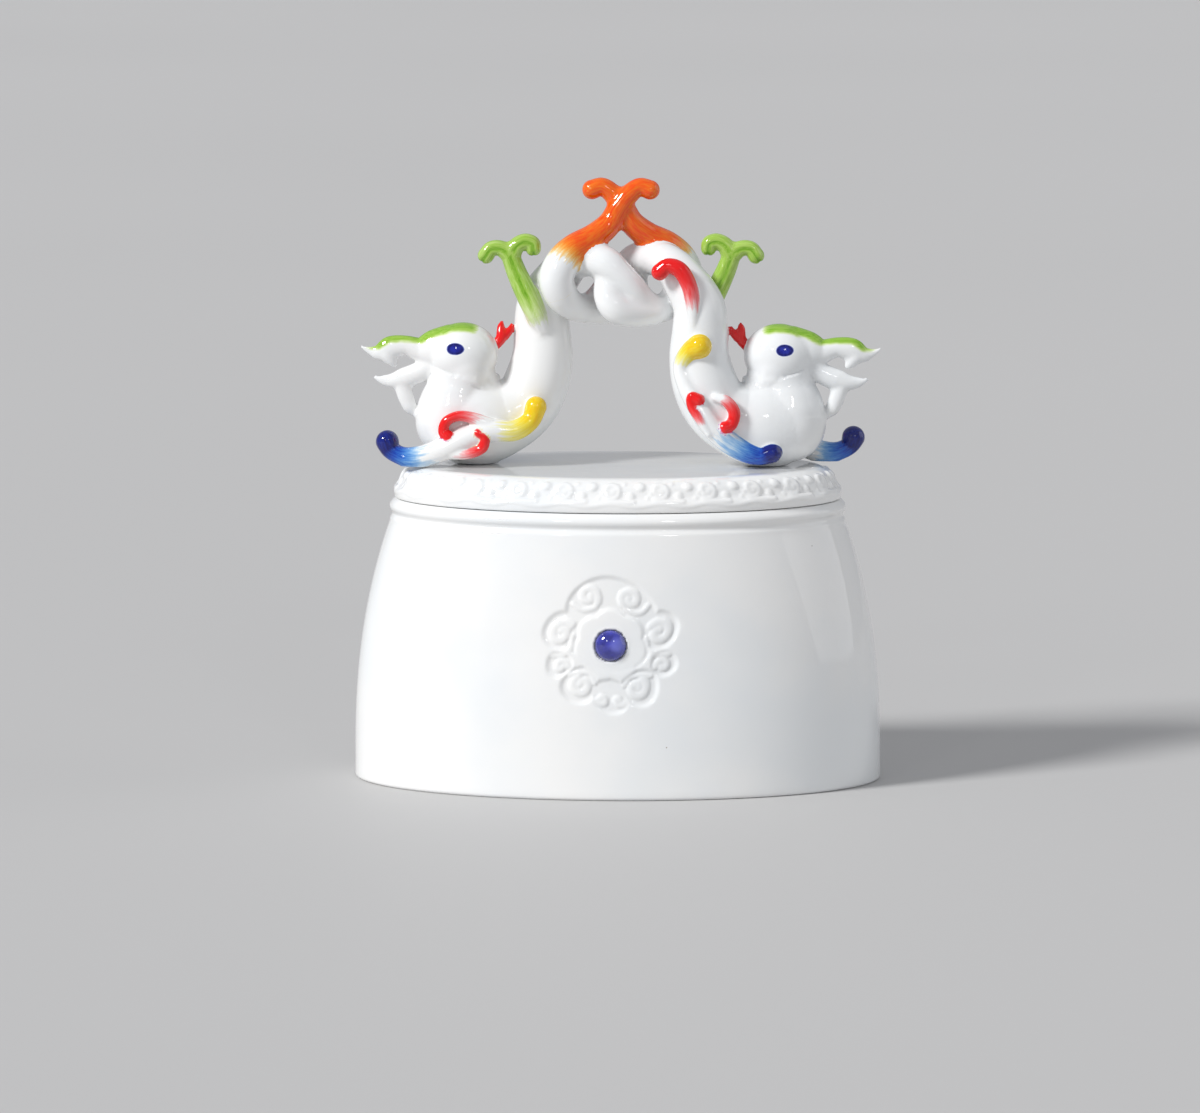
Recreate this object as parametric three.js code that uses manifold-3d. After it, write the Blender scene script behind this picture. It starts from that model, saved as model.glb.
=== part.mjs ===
// An oval porcelain box with a lift-off lid. The lid's handle is two dragons whose tails twist together.
// Millimetres, +Z up, +X along the box, -Y is the face with the medallion.
// The origin is the middle of the box on the surface that it stands on.
import * as THREE from "three";
import { mergeVertices } from "three/addons/utils/BufferGeometryUtils.js";
import Module from "manifold-3d";

const wasm = await Module();
wasm.setup();

// Box body
const BASE_HALF_LENGTH = 120.4;
const BASE_HALF_DEPTH = 76;
const NECK_HEIGHT = 118;
const LEAN_START = 12;
const LEAN_LENGTH = 16.1;
const LEAN_DEPTH = 6.5;
const LEAN_POWER = 2.3;
const LEAN_ROWS = [0.1, 0.4, 0.64, 0.84, 1];
const BODY_WALL = 6;
const RIM_WALL = 5;
const FLOOR_THICKNESS = 6;
const FLOOR_CORNER = 9;
const BASE_ROUNDING = 1.8;
const FOOT_WIDTH = 6;
const FOOT_RECESS = 2;
const GROOVE_DEPTH = 1.2;
const RIM_HEIGHT = 10.7;
const RIM_SET_BACK = 2.4;
const WALL_SIDES = 36;

// Lid
const SEAM_GAP = 0.3;
const LID_OVERHANG = 0.3;
const LID_HEIGHT = 14.8;
const LID_BAND_SLOPE = 12.5;
const LID_WALL = 5;
const LID_EDGE_ROUNDING = 0.3;
const CEILING_CORNER = 3.5;
const FLANGE_DEPTH = 6.5;
const FLANGE_WALL = 4;
const FLANGE_CLEARANCE = 0.9;

// Relief round the lid: the bosses that carry its scrolls
const SCROLL_COUNT = 24;
const SCROLL_RADIUS = 4.6;
const SCROLL_RISE = 1.5;

// Medallion
const MEDALLION_HEIGHT = 70.2;
const MEDALLION_RADIUS = 31.3;
const MEDALLION_RECESS = 1.2;
const BOSS_RADIUS = 16;
const BOSS_LOBES = 8;
const BOSS_LOBE_DEPTH = 1.6;
const BOSS_SUNK = 0.5;
const CURL_COUNT = 9;
const CURL_RADIUS = 4.6;
const CURL_THICKNESS = 1.35;
const CURL_SUNK = 0.2;
const CABOCHON_RADIUS = 7.2;
const CABOCHON_DOME = 4.6;
const CABOCHON_SEAT = 1.2;
const CABOCHON_GAP = 0.3;

// Dragons: HANDLE_SHIFT is how far right of the lid's middle they cross
const DRAGON_HEIGHT = 131.5;
const HANDLE_SHIFT = 1.5;
const BODY_SIDES = 8;
const CURL_SIDES = 4;
const STEPS_PER_STATION = 1.2;
const CAP_ANGLE = Math.PI / 3;

const porcelain = new THREE.MeshStandardMaterial({ color: 0xf4f3f1, roughness: 0.12, metalness: 0 });
const blueGlaze = new THREE.MeshStandardMaterial({ color: 0x2a2d8c, roughness: 0.05, metalness: 0 });

// Solids

function toSolid(geometry) {
  const bare = geometry.clone();
  bare.deleteAttribute("normal");
  bare.deleteAttribute("uv");
  const merged = mergeVertices(bare, 1e-4);
  const index = merged.getIndex().array;
  const corners = [];
  for (let i = 0; i < index.length; i += 3) {
    const [a, b, c] = [index[i], index[i + 1], index[i + 2]];
    if (a !== b && b !== c && a !== c) {
      corners.push(a, b, c);
    }
  }
  const mesh = new wasm.Mesh({
    numProp: 3,
    vertProperties: new Float32Array(merged.getAttribute("position").array),
    triVerts: new Uint32Array(corners),
  });
  return new wasm.Manifold(mesh);
}

function toGeometry(solid) {
  const mesh = solid.getMesh();
  const geometry = new THREE.BufferGeometry();
  geometry.setAttribute("position", new THREE.BufferAttribute(mesh.vertProperties, 3));
  geometry.setIndex(new THREE.BufferAttribute(mesh.triVerts, 1));
  geometry.computeVertexNormals();
  return geometry;
}

function joined(solids) {
  return solids.reduce((whole, solid) => whole.add(solid));
}

// An oval turned form: each station is [half length, half depth, height], and it starts and ends on the axis
function ovalSolid(stations, sides) {
  const profile = stations.map(([halfLength, , height]) => new THREE.Vector2(halfLength, height));
  const lathe = new THREE.LatheGeometry(profile, sides);
  const position = lathe.getAttribute("position");
  for (let side = 0; side <= sides; side += 1) {
    const angle = (2 * Math.PI * side) / sides;
    stations.forEach(([halfLength, halfDepth, height], row) => {
      const x = halfLength * Math.sin(angle);
      const y = -halfDepth * Math.cos(angle);
      position.setXYZ(side * stations.length + row, x, y, height);
    });
  }
  return toSolid(lathe);
}

// A limb of round or flattened section along a smooth line, with round ends
// Each station is [x, y, z, radius, flatness], where flatness is its depth along Y over its height
function limbSolid(stations, sides, closeness = STEPS_PER_STATION) {
  const line = new THREE.CatmullRomCurve3(stations.map(([x, y, z]) => new THREE.Vector3(x, y, z)));
  const radii = new THREE.CatmullRomCurve3(
    stations.map(([, , , radius, flatness = 1]) => new THREE.Vector3(radius, flatness, 0)),
  );
  const rings = [];
  const fullness = Math.sqrt((2 * Math.PI) / (sides * Math.sin((2 * Math.PI) / sides)));
  const steps = Math.ceil((stations.length - 1) * closeness);
  const addRing = (share, shrink, shift) => {
    const centre = line.getPoint(share);
    const along = line.getTangent(share);
    const { x: radius, y: flatness } = radii.getPoint(share);
    const side = new THREE.Vector3(0, 1, 0).addScaledVector(along, -along.y).normalize();
    const up = new THREE.Vector3().crossVectors(along, side);
    centre.addScaledVector(along, shift * radius);
    const ring = [];
    for (let i = 0; i < sides; i += 1) {
      const angle = (2 * Math.PI * i) / sides;
      const reach = radius * shrink * fullness;
      const point = centre.clone();
      point.addScaledVector(side, Math.cos(angle) * reach * flatness);
      point.addScaledVector(up, Math.sin(angle) * reach);
      ring.push(point);
    }
    rings.push(ring);
  };
  const firstTip = line.getPoint(0).addScaledVector(line.getTangent(0), -radii.getPoint(0).x);
  const lastTip = line.getPoint(1).addScaledVector(line.getTangent(1), radii.getPoint(1).x);
  addRing(0, Math.cos(CAP_ANGLE), -Math.sin(CAP_ANGLE));
  for (let step = 0; step <= steps; step += 1) {
    addRing(step / steps, 1, 0);
  }
  addRing(1, Math.cos(CAP_ANGLE), Math.sin(CAP_ANGLE));

  const points = [firstTip, ...rings.flat(), lastTip];
  const last = points.length - 1;
  const at = (ring, i) => 1 + ring * sides + (i % sides);
  const corners = [];
  for (let i = 0; i < sides; i += 1) {
    corners.push(0, at(0, i + 1), at(0, i));
    corners.push(last, at(rings.length - 1, i), at(rings.length - 1, i + 1));
    for (let ring = 0; ring < rings.length - 1; ring += 1) {
      corners.push(at(ring, i), at(ring, i + 1), at(ring + 1, i));
      corners.push(at(ring, i + 1), at(ring + 1, i + 1), at(ring + 1, i));
    }
  }
  const geometry = new THREE.BufferGeometry().setFromPoints(points);
  geometry.setIndex(corners);
  return toSolid(geometry);
}

function ballSolid([x, y, z], [halfX, halfY, halfZ]) {
  const ball = new THREE.SphereGeometry(1, 10, 7);
  ball.rotateX(Math.PI / 2);
  ball.scale(halfX, halfY, halfZ);
  ball.translate(x, y, z);
  return toSolid(ball);
}

// Box body

const rimTop = NECK_HEIGHT + RIM_HEIGHT;

// The wall leans in more and more from LEAN_START to the neck; inset moves it inwards all round
function wallAt(height, inset = 0) {
  const rise = Math.max(0, height - LEAN_START) / (NECK_HEIGHT - LEAN_START);
  const lean = Math.min(rise, 1) ** LEAN_POWER;
  const halfLength = BASE_HALF_LENGTH - LEAN_LENGTH * lean - inset;
  const halfDepth = BASE_HALF_DEPTH - LEAN_DEPTH * lean - inset;
  return [halfLength, halfDepth, height];
}

function leaningStations(inset) {
  return LEAN_ROWS.map((share) => wallAt(share * NECK_HEIGHT, inset));
}

function boxVessel() {
  const neck = (share, inset) => {
    const [halfLength, halfDepth] = wallAt(NECK_HEIGHT, inset);
    return [halfLength, halfDepth, NECK_HEIGHT + share * RIM_HEIGHT];
  };
  const innerFloor = FOOT_RECESS + FLOOR_THICKNESS;
  const flatten = ([halfLength, halfDepth], height) => [halfLength, halfDepth, height];
  return ovalSolid(
    [
      [0, 0, FOOT_RECESS],
      flatten(wallAt(0, BASE_ROUNDING + FOOT_WIDTH + FOOT_RECESS), FOOT_RECESS),
      flatten(wallAt(0, BASE_ROUNDING + FOOT_WIDTH), 0),
      flatten(wallAt(0, BASE_ROUNDING), 0),
      flatten(wallAt(0), BASE_ROUNDING),
      ...leaningStations(0),
      neck(0.33, GROOVE_DEPTH),
      neck(0.52, 0.6),
      neck(0.68, 0.05),
      neck(0.84, 0.5),
      neck(1, RIM_SET_BACK),
      neck(1, RIM_SET_BACK + RIM_WALL),
      ...leaningStations(BODY_WALL).slice(1).reverse(),
      flatten(wallAt(0, BODY_WALL), innerFloor + FLOOR_CORNER),
      flatten(wallAt(0, BODY_WALL + 0.3 * FLOOR_CORNER), innerFloor + 0.3 * FLOOR_CORNER),
      flatten(wallAt(0, BODY_WALL + FLOOR_CORNER), innerFloor),
      [0, 0, innerFloor],
    ],
    WALL_SIDES,
  );
}

// A place on the front wall, by its distance right of and above the medallion's middle
function onFrontWall(right, above, inset) {
  const [halfLength, halfDepth, height] = wallAt(MEDALLION_HEIGHT + above, inset);
  const depth = halfDepth * Math.sqrt(1 - (right / halfLength) ** 2);
  return [right, -depth, height];
}

// A rod that faces -Y, whose outline is a closed shape in the front plane
function frontPunch(outline, fromDepth, toDepth) {
  const rod = new THREE.ExtrudeGeometry(outline, {
    depth: toDepth - fromDepth,
    bevelEnabled: false,
    curveSegments: 11,
  });
  rod.rotateX(Math.PI / 2);
  rod.translate(0, -fromDepth, MEDALLION_HEIGHT);
  return toSolid(rod);
}

function discOutline(radius) {
  const disc = new THREE.Shape();
  disc.absarc(0, 0, radius, 0, 2 * Math.PI, false);
  return disc;
}

function lobedOutline(radius, lobes, depth) {
  const points = [];
  const pointsPerLobe = 3;
  for (let i = 0; i < lobes * pointsPerLobe; i += 1) {
    const angle = (2 * Math.PI * i) / (lobes * pointsPerLobe);
    const reach = radius - depth * (1 - Math.abs(Math.sin((lobes * angle) / 2)));
    points.push(new THREE.Vector2(reach * Math.cos(angle), reach * Math.sin(angle)));
  }
  return new THREE.Shape(points);
}

// The box filled in and set back by inset, which bounds the depth of what is cut from the outside
function filledBox(inset) {
  const rows = leaningStations(inset);
  const [, , bottom] = rows[0];
  return ovalSolid([[0, 0, bottom], ...rows, [0, 0, NECK_HEIGHT]], WALL_SIDES);
}

// A curl of the medallion: a spiral line that starts at an angle and winds in by one turn
function medallionCurl(centreAngle, distance, size, hand) {
  const stations = [];
  const stops = 4;
  for (let i = 0; i <= stops; i += 1) {
    const share = i / stops;
    const turn = centreAngle + hand * (-0.6 + 1.5 * share) * Math.PI;
    const reach = size * (1 - 0.62 * share);
    const right = distance * Math.cos(centreAngle) + reach * Math.cos(turn);
    const above = distance * Math.sin(centreAngle) + reach * Math.sin(turn);
    const [x, y, z] = onFrontWall(right, above, MEDALLION_RECESS + CURL_SUNK);
    stations.push([x, y, z, CURL_THICKNESS, 1]);
  }
  return frontLimb(stations);
}

// A limb that lies in the front wall, where Y is never along it
function frontLimb(stations) {
  return limbSolid(stations, 4, 1);
}

function medallionCurls() {
  const curls = [];
  const sweep = (2 * Math.PI) / (CURL_COUNT + 2);
  const ringDistance = MEDALLION_RADIUS - CURL_RADIUS - CURL_THICKNESS;
  for (let i = 0; i < CURL_COUNT; i += 1) {
    const angle = Math.PI / 2 + sweep * (i + 1.5);
    const hand = i < CURL_COUNT / 2 ? 1 : -1;
    curls.push(medallionCurl(angle, ringDistance, CURL_RADIUS, hand));
  }
  const bigSize = 1.25 * CURL_RADIUS;
  for (const hand of [1, -1]) {
    curls.push(medallionCurl(Math.PI / 2 + hand * 0.4, ringDistance - 1, bigSize, hand));
  }
  return curls;
}

function boxBody() {
  const depthOf = (inset) => -onFrontWall(0, 0, inset)[1];
  const outside = BASE_HALF_DEPTH + 2 * MEDALLION_RECESS;
  const inwards = BASE_HALF_DEPTH / 2;
  const recess = frontPunch(discOutline(MEDALLION_RADIUS), inwards, outside)
    .subtract(filledBox(MEDALLION_RECESS));
  const boss = frontPunch(lobedOutline(BOSS_RADIUS, BOSS_LOBES, BOSS_LOBE_DEPTH), inwards, outside)
    .intersect(filledBox(0.35 * MEDALLION_RECESS));
  const socketFloor = depthOf(MEDALLION_RECESS) - CABOCHON_SEAT - CABOCHON_GAP;
  const socket = frontPunch(discOutline(CABOCHON_RADIUS + CABOCHON_GAP), socketFloor, outside);
  const bossShell = boss.subtract(filledBox(MEDALLION_RECESS + BOSS_SUNK));
  return boxVessel().subtract(recess).add(bossShell).add(joined(medallionCurls())).subtract(socket);
}

function cabochon() {
  const back = -onFrontWall(0, 0, MEDALLION_RECESS)[1] - CABOCHON_SEAT;
  const profile = [[0, 0], [CABOCHON_RADIUS, 0], [CABOCHON_RADIUS, CABOCHON_SEAT]];
  const arcSteps = 4;
  for (let i = 1; i <= arcSteps; i += 1) {
    const angle = (Math.PI / 2) * (i / arcSteps);
    const reach = i === arcSteps ? 0 : CABOCHON_RADIUS * Math.cos(angle);
    profile.push([reach, CABOCHON_SEAT + CABOCHON_DOME * Math.sin(angle)]);
  }
  const dome = new THREE.LatheGeometry(profile.map(([r, h]) => new THREE.Vector2(r, h)), 14);
  dome.rotateX(Math.PI);
  dome.translate(0, -back, MEDALLION_HEIGHT);
  return toSolid(dome);
}

// Lid

const lidBottom = rimTop + SEAM_GAP;
const lidTop = lidBottom + LID_HEIGHT;

function lidEdge(inset, height) {
  const [halfLength, halfDepth] = wallAt(NECK_HEIGHT, RIM_SET_BACK - LID_OVERHANG + inset);
  return [halfLength, halfDepth, height];
}

function lidPlate() {
  const flangeOuter = RIM_WALL + FLANGE_CLEARANCE + LID_OVERHANG;
  const flangeInner = flangeOuter + FLANGE_WALL;
  const flangeBottom = lidBottom - FLANGE_DEPTH;
  const ceiling = lidTop - LID_WALL;
  return ovalSolid(
    [
      [0, 0, ceiling],
      lidEdge(flangeInner + CEILING_CORNER, ceiling),
      lidEdge(flangeInner, ceiling - CEILING_CORNER),
      lidEdge(flangeInner, flangeBottom),
      lidEdge(flangeOuter, flangeBottom),
      lidEdge(flangeOuter, lidBottom),
      lidEdge(LID_EDGE_ROUNDING, lidBottom),
      lidEdge(0, lidBottom + 0.05 * LID_HEIGHT),
      lidEdge(0, lidBottom + 0.3 * LID_HEIGHT),
      lidEdge(0.18 * LID_BAND_SLOPE, lidBottom + 0.48 * LID_HEIGHT),
      lidEdge(0.34 * LID_BAND_SLOPE, lidBottom + 0.74 * LID_HEIGHT),
      lidEdge(0.58 * LID_BAND_SLOPE, lidBottom + 0.92 * LID_HEIGHT),
      lidEdge(LID_BAND_SLOPE, lidTop),
      [0, 0, lidTop],
    ],
    WALL_SIDES,
  );
}

// Each boss lies on the slope of the band, half sunk in it
function lidBosses() {
  const bosses = [];
  const slope = Math.atan2(0.26 * LID_HEIGHT, 0.16 * LID_BAND_SLOPE);
  const [halfLength, halfDepth] = lidEdge(0.26 * LID_BAND_SLOPE, 0);
  const height = lidBottom + 0.61 * LID_HEIGHT;
  for (let i = 0; i < SCROLL_COUNT; i += 1) {
    const angle = (2 * Math.PI * (i + 0.5)) / SCROLL_COUNT;
    const boss = new THREE.OctahedronGeometry(SCROLL_RADIUS);
    boss.scale(SCROLL_RISE / SCROLL_RADIUS, 1, 1);
    boss.rotateY(slope - Math.PI / 2);
    boss.rotateZ(Math.atan2(Math.sin(angle) / halfDepth, Math.cos(angle) / halfLength));
    boss.translate(halfLength * Math.cos(angle), halfDepth * Math.sin(angle), height);
    bosses.push(toSolid(boss));
  }
  return bosses;
}

// Dragons
// The tables give the left dragon as [right of the crossing, back, above the lid, radius, flatness]

const SPINE = [
  [-75.5, 0, 19.8, 18.4, 0.85], [-66, 1.5, 19, 19.8, 0.88], [-56, 3.5, 21, 18.2, 0.92],
  [-45, 6, 27.8, 16.2, 0.95], [-38.4, 7, 38.2, 14.8], [-36, 7, 50.2, 13.7], [-36.4, 7.5, 62.2, 12.8],
  [-35.8, 8, 73, 11.8], [-30.5, 7, 83, 10.4], [-22.5, 3, 91.8, 8.6], [-14, -4.5, 94.3, 8],
  [-6.5, -8.6, 92.8, 7.6], [-0.8, -10.2, 88.6, 6.4], [5.6, -9.8, 82.7, 5.7], [10.4, -7.4, 77, 5.3],
  [14.8, -3.2, 72, 6.6], [21, 3.5, 72.6, 6.6], [26.8, 9.5, 78.5, 7.7], [28.8, 11.5, 86, 8.1],
  [26.3, 10.8, 92.8, 7.9], [21, 8.2, 99, 7], [12, 4.5, 104.4, 6.2], [4.8, 1.8, 110.6, 5.6],
  [0.6, 1.2, 118, 5.2], [-3.8, 0.8, 123.6, 4.6], [-8.6, 0.3, 126.9, 4.2], [-13.2, 0.3, 125.6, 4.5],
];
const TWIST_FOLD = [
  [-7.4, -6, 90.5, 4.6], [-6.6, -9.2, 84.6, 5], [-5.2, -10.6, 78.2, 6.3], [-1.4, -10.4, 73, 7.4],
  [6.4, -7.6, 70.9, 7.3], [14.5, -3.5, 71, 7],
];
const NECK = [
  [-75.5, 0, 23, 18, 0.85], [-74, 0, 29.6, 14.7, 0.95], [-72.5, 0, 34.6, 13, 1.02],
  [-71.2, 0, 39.5, 12, 1.08], [-71.5, 0, 46, 13],
];
const CRANIUM = { centre: [-72, 0, 49], half: [16, 13, 15.8] };
const BEAK = [
  [-76, 0, 52, 12.2, 0.75], [-84, 0, 52.6, 9.1, 0.75], [-91, 0, 52.1, 5.6, 0.8], [-98, 0, 53.1, 5.2, 0.8],
  [-105, 0, 52.8, 5.2, 0.7], [-110, 0, 50.9, 3.7, 0.65], [-114.5, 0, 51.6, 1.8, 0.6],
  [-118, 0, 53.3, 0.8, 0.6],
];
const FANG = [[-108, 0, 50, 4, 0.8], [-106.4, 0, 46.8, 3, 0.9], [-105, 0, 44.6, 1.7]];
const JAW = [
  [-84, 0, 46.6, 5.2, 0.9], [-91, 0, 42.4, 4.8, 0.9], [-98, 0, 39.8, 5, 0.8], [-103.5, 0, 38.2, 3.8, 0.8],
  [-108.5, 0, 38.2, 2.2, 0.7], [-112, 0, 39.4, 0.9, 0.7],
];
const BEARD = [
  [-100, 0, 36, 3.8, 0.8], [-98.4, 0, 31, 3.7, 0.8], [-96.6, 0, 26.4, 3.2, 0.8],
  [-94.8, 0, 23.4, 1.6, 0.8],
];
const HORN = [
  [-56.8, 0, 54.4, 2], [-54.6, 0.5, 58, 2.5], [-54.8, 1.5, 62.4, 1.8], [-54.4, 2, 65.2, 0.6],
];
const HORN_SPUR = [[-53.2, 1, 58.5, 2.2], [-50.6, 2, 61.4, 1.6], [-49.8, 2.5, 63.9, 0.6]];
const FRONT_BAND = [
  [-38.2, -11.5, 27.4, 4.9], [-40.5, -12.8, 21.5, 4.4], [-47.5, -15.2, 17, 4.7], [-58, -16.6, 17, 5.1],
  [-68.5, -17, 14, 5.3], [-79.5, -17, 8.6, 5.4], [-90, -16, 5.1, 4.9], [-98.5, -15, 4.9, 4.3],
  [-104.2, -14.5, 7.8, 4.3], [-105.8, -14, 11.4, 5.3],
];
const FRONT_CURLS = [
  [
    [-59, -17, 19.5, 3.4], [-66, -18, 22.6, 2.8], [-73, -18.4, 23.8, 2.4], [-78.6, -18.4, 21.2, 2.4],
    [-79.9, -18.4, 16.6, 2.5], [-77.8, -19, 14.4, 2.9],
  ],
  [
    [-77, -19, 6.4, 2.4], [-68, -20, 6.8, 2.4], [-61.8, -20.4, 9.8, 2.4], [-61.4, -20, 14.4, 2.6],
    [-64, -19.8, 16, 3],
  ],
];
const FORK_STEM = [
  [-35.5, -4.5, 62, 3], [-38.6, -5.2, 69, 4.6], [-43.2, -4.2, 79, 5], [-47.6, -3, 88.5, 4.6],
  [-50.4, -2.5, 96, 4.2],
];
const FORK_CURLS = [
  [[-50.2, -2.5, 95.5, 4.2], [-54.6, -2.5, 98.8, 3.7], [-59, -2.5, 98.6, 3.6], [-61.4, -2.5, 95.6, 3.8]],
  [[-49.8, -2.5, 95.5, 4.2], [-47.4, -2.5, 100, 3.9], [-43.4, -2.5, 102, 3.7],
    [-40.2, -2.5, 101, 3.6], [-39.8, -2.5, 98.8, 3.5]],
];
const BACK_CURL = [
  [-34, 17.5, 63.5, 2.4], [-33.4, 19, 75, 3.2], [-31.4, 19.5, 84.5, 3.7], [-27.2, 19.5, 91, 3.8],
  [-22, 19, 92.6, 3.5], [-18.4, 18.4, 89.8, 3.9],
];
const BACK_BAND = [
  [-36.4, 19.8, 56.2, 5.4], [-31.9, 19, 53.4, 4.2], [-28.4, 16.6, 46.6, 4], [-30.4, 17.6, 38.8, 4.3],
  [-35.4, 19.8, 29.5, 4.9], [-41.4, 20.6, 20.6, 5.1], [-49.6, 19, 12.6, 5.1], [-58.5, 16.6, 7.4, 4.8],
  [-64, 15.6, 6, 4.2], [-68.9, 15, 7.4, 4.9],
];
const BACK_SMALL_CURLS = [
  [
    [-41, 24.2, 17, 1.8], [-36.8, 24.4, 23.6, 2.3], [-33.2, 23, 29.6, 2.4], [-33.2, 22.6, 33.4, 2.4],
    [-36.2, 23.2, 32, 2.8],
  ],
  [
    [-44, 21.6, 33.2, 2], [-48.6, 22, 31.6, 2.6], [-52.3, 21.8, 26.6, 2.8], [-51.2, 22.2, 21, 2.7],
    [-48, 23, 19.4, 2.9],
  ],
];

function dragon() {
  const drawnHeight = 131.5;
  const share = DRAGON_HEIGHT / drawnHeight;
  const sized = (table) =>
    table.map(([x, y, z, radius, flatness = 1]) => [
      x * share, y * share, lidTop + z * share, radius * share, flatness,
    ]);
  const [headX, headY, headZ] = CRANIUM.centre;
  const cranium = {
    centre: [headX * share, headY * share, lidTop + headZ * share],
    half: CRANIUM.half.map((reach) => reach * share),
  };
  const thick = (table) => limbSolid(sized(table), BODY_SIDES);
  const fine = (table) => limbSolid(sized(table), CURL_SIDES, 1);
  return joined([
    thick(SPINE),
    thick(TWIST_FOLD),
    thick(NECK),
    ballSolid(cranium.centre, cranium.half),
    limbSolid(sized(BEAK), 8, 1),
    ...[FANG, JAW, BEARD, HORN, HORN_SPUR].map(fine),
    ...[FRONT_BAND, ...FRONT_CURLS].map(fine),
    ...[BACK_BAND, BACK_CURL, ...BACK_SMALL_CURLS].map(fine),
    ...[FORK_STEM, ...FORK_CURLS].map(fine),
  ]);
}

function lidWithHandle() {
  const left = dragon();
  const right = left.rotate([0, 0, 180]);
  const handle = left.add(right).translate([HANDLE_SHIFT, 0, 0]);
  return joined([lidPlate(), ...lidBosses(), handle]);
}

// The object

const group = new THREE.Group();
const pieces = [
  ["box_body", boxBody(), porcelain],
  ["lid_with_dragon_handle", lidWithHandle(), porcelain],
  ["medallion_cabochon", cabochon(), blueGlaze],
];
for (const [name, solid, material] of pieces) {
  const mesh = new THREE.Mesh(toGeometry(solid), material);
  mesh.name = name;
  group.add(mesh);
}

export default group;
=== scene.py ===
"""An oval porcelain box with a lift-off lid, whose handle is two painted dragons with twisted tails."""

import math

import bpy
import numpy as np
from mathutils import Matrix, Vector


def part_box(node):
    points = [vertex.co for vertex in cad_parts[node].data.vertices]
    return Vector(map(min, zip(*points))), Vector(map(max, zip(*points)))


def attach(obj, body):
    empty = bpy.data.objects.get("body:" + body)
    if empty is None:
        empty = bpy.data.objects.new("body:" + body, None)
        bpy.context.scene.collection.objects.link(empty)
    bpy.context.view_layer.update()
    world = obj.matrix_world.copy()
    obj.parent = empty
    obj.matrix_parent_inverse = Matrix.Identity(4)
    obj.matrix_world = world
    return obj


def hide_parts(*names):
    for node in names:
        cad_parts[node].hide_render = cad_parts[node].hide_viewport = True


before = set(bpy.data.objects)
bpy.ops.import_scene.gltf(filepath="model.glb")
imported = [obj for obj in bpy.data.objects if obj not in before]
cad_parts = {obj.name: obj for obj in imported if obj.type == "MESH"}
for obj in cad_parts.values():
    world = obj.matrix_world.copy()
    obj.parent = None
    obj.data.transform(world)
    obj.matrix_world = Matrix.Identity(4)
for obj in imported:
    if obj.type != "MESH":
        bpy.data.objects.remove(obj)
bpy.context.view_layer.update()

# All sizes and places below are in millimetres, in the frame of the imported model
MM = 0.001

# Sizes read from the frame
body_low, body_high = (np.array(corner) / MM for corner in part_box("box_body"))
lid_low, _ = (np.array(corner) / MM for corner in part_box("lid_with_dragon_handle"))
gem_low, gem_high = (np.array(corner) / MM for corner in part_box("medallion_cabochon"))
BASE_HALF_LENGTH = (body_high[0] - body_low[0]) / 2
BASE_HALF_DEPTH = (body_high[1] - body_low[1]) / 2
RIM_TOP = body_high[2]
FLANGE_BOTTOM = lid_low[2]

# Box body
RIM_HEIGHT = 10.7
NECK_HEIGHT = RIM_TOP - RIM_HEIGHT
LEAN_START = 12
LEAN_LENGTH = 16.1
LEAN_DEPTH = 6.5
LEAN_POWER = 2.3
BODY_WALL = 6
FLOOR_TOP = 8
FLOOR_CORNER = 9
BASE_ROUNDING = 1.8
FOOT_WIDTH = 6
FOOT_RECESS = 2
RIM_ROUNDING = 1
RIM_WIDTH = 5

# Neck: share of the rim's height, and how far the surface stands inside the wall's own line
NECK_PROFILE = [
    (0, 0), (0.14, 0.25), (0.26, 0.95), (0.355, 1.3), (0.45, 0.95), (0.55, 0.3), (0.66, 0.02),
    (0.76, 0.25), (0.86, 0.95), (0.94, 1.7), (1, 2.5),
]

# Lid
SEAM_GAP = 0.3
LID_HEIGHT = 14.8
LID_BOTTOM = RIM_TOP + SEAM_GAP
LID_TOP = LID_BOTTOM + LID_HEIGHT
LID_SET_BACK = 2.1
LID_CEILING = LID_TOP - 5
FLANGE_OUTER = 6.2
FLANGE_INNER = 10.2

# Lid band: share of the lid's height, and how far the surface stands inside the lid's widest line
LID_PROFILE = [
    (0.005, 1), (0.02, 0.45), (0.07, 0.12), (0.17, 0), (0.28, 0.2), (0.37, 1.1), (0.45, 2.3),
    (0.55, 3), (0.65, 3.5), (0.75, 4.3), (0.85, 5.8), (0.93, 7.8), (0.98, 10), (1, 12.5),
]

# Lid band relief: one repeat is a scroll with a tail, two large and two small beads, over a wave
SCROLL_COUNT = 24
SCROLL_SLOPE_PLACE = 11.4
SCROLL_RADIUS = 4.1
SCROLL_START = -2.1
SCROLL_SWEEP = 2.6 * np.pi
SCROLL_WIND = 0.68
SCROLL_WIDTH = 1.4
SCROLL_RISE = 0.72
SCROLL_EYE_RISE = 0.6
SCROLL_TAIL = [
    (-4, -1.4), (-2.6, -4.4), (0.8, -5.4), (4.4, -5.6), (8, -6), (11, -5.2), (13.4, -3),
]
TAIL_RISE = 0.5
WAVE_PLACE = -7.2
WAVE_REACH = 0.8
WAVE_RISE = 0.32
THIN_LINE_WIDTH = 1.2
BEAD_RISE = 0.9
FULL_BEAD_RADIUS = 2.3
# Beads: (share of a repeat, right of there, above the scroll's middle, radius)
BEADS = [(0, 8.6, -2.6, 2.1), (0.5, 2.4, 2, 2.4), (0.5, 5.4, -3.4, 1.2), (0, 6, 3.4, 1.2)]
# Where the relief starts from either edge of the band, and over what distance it comes up
BAND_MARGIN = 1.5
BAND_FADE = 2

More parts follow.
